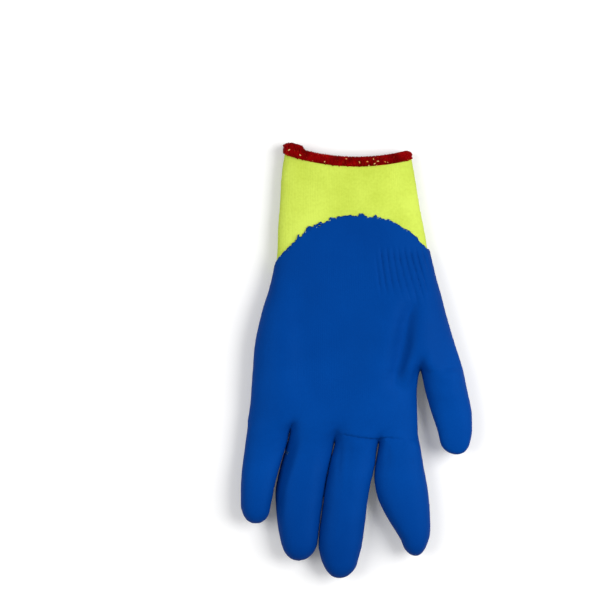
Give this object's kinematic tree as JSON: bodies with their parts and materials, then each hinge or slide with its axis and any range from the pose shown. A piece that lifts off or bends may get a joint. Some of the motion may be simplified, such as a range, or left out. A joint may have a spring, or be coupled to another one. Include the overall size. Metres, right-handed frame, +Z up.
{
  "type": "dipped knit work glove",
  "caption": "Left-hand work glove, palm up: a knitted liner dipped in rubber over the palm and fingertips, with an overlocked cuff edge and a bare woven label on the back of the cuff.",
  "frame": {"origin": "on the surface that the glove rests on, under the middle of its box", "axes": "+X towards the thumb, +Y from the fingertips towards the cuff, +Z up out of the palm"},
  "size_m": [0.1332, 0.2506, 0.0249],
  "materials": {
    "knit": "bright yellow fine-gauge knit, matt, with vertical wales",
    "rubber_coat": "deep blue dipped rubber, satin, slightly uneven",
    "edging_thread": "deep red overlock thread with a soft shine",
    "label_weave": "black woven tape with a bare white band, no lettering"
  },
  "bodies": {
    "root": {"knit_liner": "knit", "palm_coat": "rubber_coat", "cuff_edging": "edging_thread", "cuff_label": "label_weave"}
  },
  "joints": []
}
